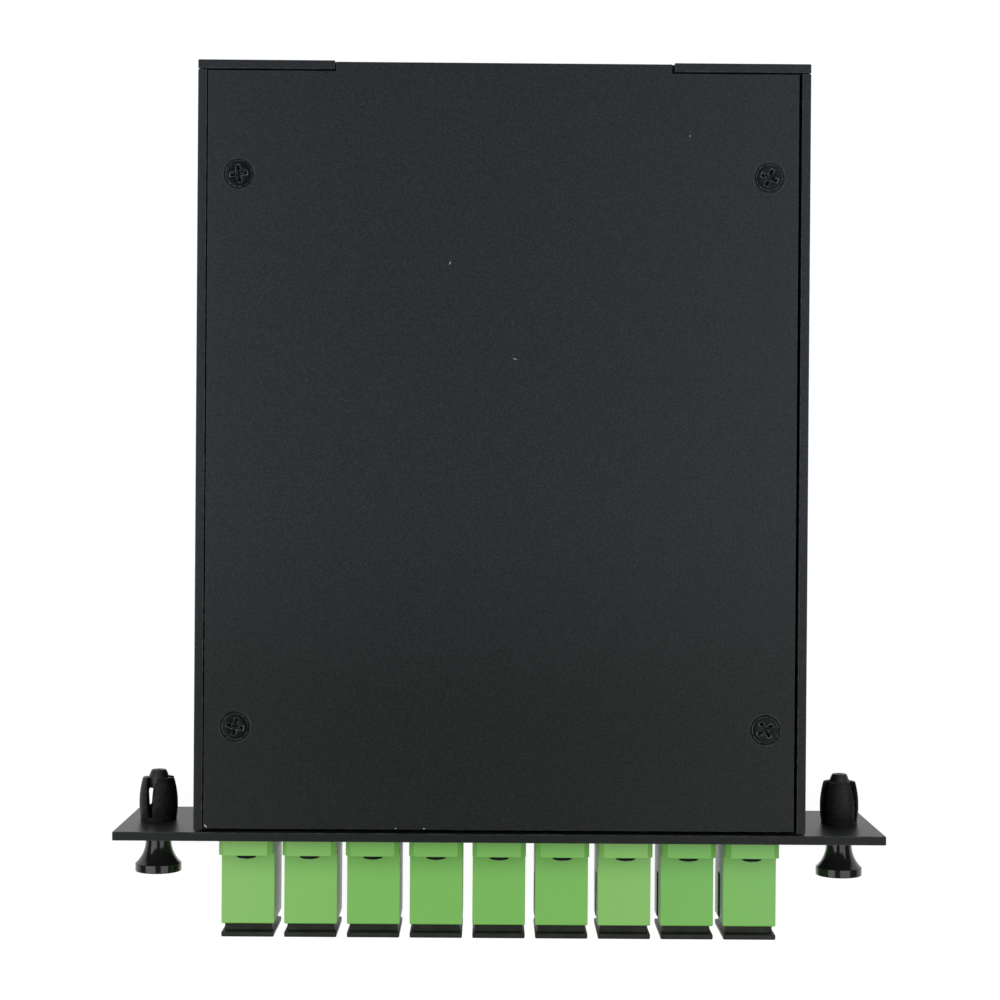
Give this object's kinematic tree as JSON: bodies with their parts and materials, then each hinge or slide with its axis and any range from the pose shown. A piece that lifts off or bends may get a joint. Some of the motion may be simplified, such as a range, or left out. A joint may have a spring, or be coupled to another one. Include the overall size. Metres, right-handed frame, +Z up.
{
  "type": "plc fibre splitter cassette",
  "caption": "Slim black sheet-metal splitter cassette with a row of green flanged fibre adapters, dust caps and push-pull panel latches",
  "frame": {"origin": "on the underside of the case, midway between its sides and midway between the front of the panel and the back of the case", "axes": "+X to the right along the front panel, +Y from the front panel to the back, +Z up, towards the lid"},
  "size_m": [0.13, 0.149, 0.029],
  "materials": {
    "powder_coat": "black powder coat on sheet steel, fine texture",
    "black_zinc": "black-coated steel screws, satin",
    "zinc_steel": "zinc-plated steel",
    "green_pbt": "moulded green thermoplastic, satin",
    "green_rubber": "moulded green elastomer",
    "black_cap": "moulded black polyethylene, satin",
    "black_nylon": "moulded black nylon, matt",
    "black_gloss_nylon": "moulded black nylon, polished",
    "natural_nylon": "moulded natural nylon",
    "zirconia": "ground white zirconia",
    "stainless": "drawn stainless tube",
    "black_rubber": "cast black sealant",
    "silica": "polished silica waveguide chip",
    "fibre_jacket": "white buffered fibre tube"
  },
  "bodies": {
    "case": {"tray": "powder_coat", "lid": "powder_coat", "lid_screws": "black_zinc", "lid_brackets": "zinc_steel", "clinch_nuts": "zinc_steel", "adapter_hooks": "natural_nylon", "alignment_sleeves": "zirconia", "plug_frames": "natural_nylon", "ferrules": "zirconia", "plug_boots": "green_rubber", "flange_screws": "black_zinc", "flange_nuts": "black_zinc", "latch_grommet_left": "black_nylon", "latch_grommet_right": "black_nylon", "splitter_tube": "stainless", "splitter_seals": "black_rubber", "splitter_chip": "silica", "splitter_saddles": "black_nylon", "adapter_shell_1": "green_pbt", "adapter_shell_2": "green_pbt", "adapter_shell_3": "green_pbt", "adapter_shell_4": "green_pbt", "adapter_shell_5": "green_pbt", "adapter_shell_6": "green_pbt", "adapter_shell_7": "green_pbt", "adapter_shell_8": "green_pbt", "adapter_shell_9": "green_pbt", "plug_housing_1": "green_pbt", "plug_housing_2": "green_pbt", "plug_housing_3": "green_pbt", "plug_housing_4": "green_pbt", "plug_housing_5": "green_pbt", "plug_housing_6": "green_pbt", "plug_housing_7": "green_pbt", "plug_housing_8": "green_pbt", "plug_housing_9": "green_pbt", "input_fibre": "fibre_jacket", "output_fibre_1": "fibre_jacket", "output_fibre_2": "fibre_jacket", "output_fibre_3": "fibre_jacket", "output_fibre_4": "fibre_jacket", "output_fibre_5": "fibre_jacket", "output_fibre_6": "fibre_jacket", "output_fibre_7": "fibre_jacket", "output_fibre_8": "fibre_jacket"},
    "cap_1": {"dust_cap_1": "black_cap"},
    "cap_2": {"dust_cap_2": "black_cap"},
    "cap_3": {"dust_cap_3": "black_cap"},
    "cap_4": {"dust_cap_4": "black_cap"},
    "cap_5": {"dust_cap_5": "black_cap"},
    "cap_6": {"dust_cap_6": "black_cap"},
    "cap_7": {"dust_cap_7": "black_cap"},
    "cap_8": {"dust_cap_8": "black_cap"},
    "cap_9": {"dust_cap_9": "black_cap"},
    "plunger_left": {"latch_plunger_left": "black_gloss_nylon"},
    "plunger_right": {"latch_plunger_right": "black_gloss_nylon"}
  },
  "joints": [
    {"name": "cap_1_pull", "type": "slide", "parent": "case", "child": "cap_1", "axis": [0, -1, 0], "range_m": [0, 0.012]},
    {"name": "cap_2_pull", "type": "slide", "parent": "case", "child": "cap_2", "axis": [0, -1, 0], "range_m": [0, 0.012]},
    {"name": "cap_3_pull", "type": "slide", "parent": "case", "child": "cap_3", "axis": [0, -1, 0], "range_m": [0, 0.012]},
    {"name": "cap_4_pull", "type": "slide", "parent": "case", "child": "cap_4", "axis": [0, -1, 0], "range_m": [0, 0.012]},
    {"name": "cap_5_pull", "type": "slide", "parent": "case", "child": "cap_5", "axis": [0, -1, 0], "range_m": [0, 0.012]},
    {"name": "cap_6_pull", "type": "slide", "parent": "case", "child": "cap_6", "axis": [0, -1, 0], "range_m": [0, 0.012]},
    {"name": "cap_7_pull", "type": "slide", "parent": "case", "child": "cap_7", "axis": [0, -1, 0], "range_m": [0, 0.012]},
    {"name": "cap_8_pull", "type": "slide", "parent": "case", "child": "cap_8", "axis": [0, -1, 0], "range_m": [0, 0.012]},
    {"name": "cap_9_pull", "type": "slide", "parent": "case", "child": "cap_9", "axis": [0, -1, 0], "range_m": [0, 0.012]},
    {"name": "plunger_left_pull", "type": "slide", "parent": "case", "child": "plunger_left", "axis": [0, -1, 0], "range_m": [0, 0.006]},
    {"name": "plunger_right_pull", "type": "slide", "parent": "case", "child": "plunger_right", "axis": [0, -1, 0], "range_m": [0, 0.006]}
  ]
}
